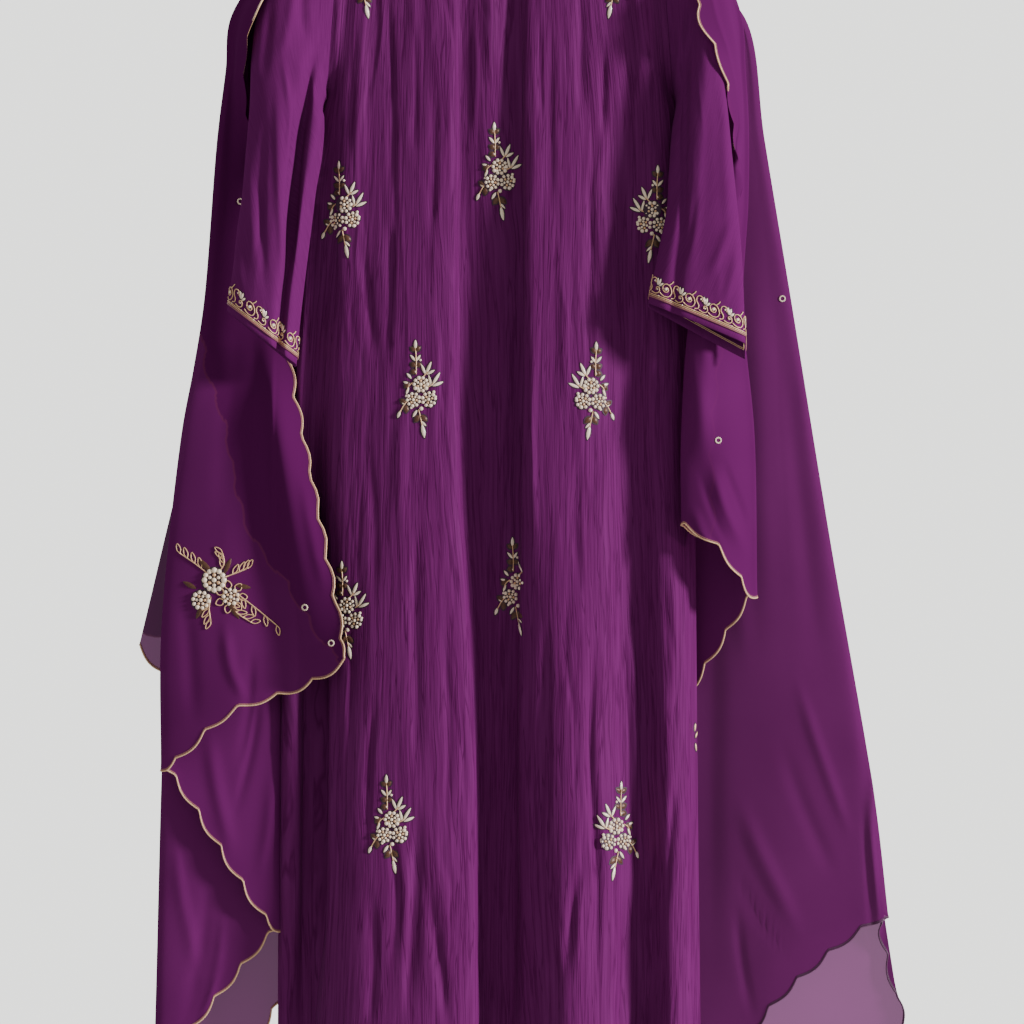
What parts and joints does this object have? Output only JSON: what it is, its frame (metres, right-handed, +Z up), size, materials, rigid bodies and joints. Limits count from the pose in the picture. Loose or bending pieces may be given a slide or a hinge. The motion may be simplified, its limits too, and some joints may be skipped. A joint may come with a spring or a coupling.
{
  "type": "a-line suit on hanger",
  "caption": "Long a-line kurta with three-quarter sleeves and a scalloped sheer dupatta over its shoulders, hung on a plain wooden hanger.",
  "frame": {"origin": "the inside top of the hanger's hook, where a rail carries it", "axes": "+Z up, -Y the front, +X to the right as seen from the front"},
  "size_m": [0.9302, 0.1705, 1.5817],
  "materials": {
    "crinkled_silk": "deep purple silk with fine vertical crinkles and a soft sheen",
    "sleeve_silk": "deep purple slub silk, smoother than the body",
    "organza": "deep purple sheer organza",
    "gold_thread": "gold metal thread and cream beads",
    "rose_thread": "rose brown embroidery thread",
    "hanger_wood": "plain satin varnished wood",
    "hanger_steel": "plain steel wire"
  },
  "bodies": {
    "root": {"kurta_front": "crinkled_silk", "kurta_back": "crinkled_silk", "sleeve_left": "sleeve_silk", "sleeve_right": "sleeve_silk", "dupatta_left_front_fall": "organza", "dupatta_left_back_fall": "organza", "dupatta_right_front_fall": "organza", "dupatta_right_back_fall": "organza", "dupatta_back_drape": "organza", "hanger_bar": "hanger_wood", "hanger_hook": "hanger_steel"}
  },
  "joints": []
}
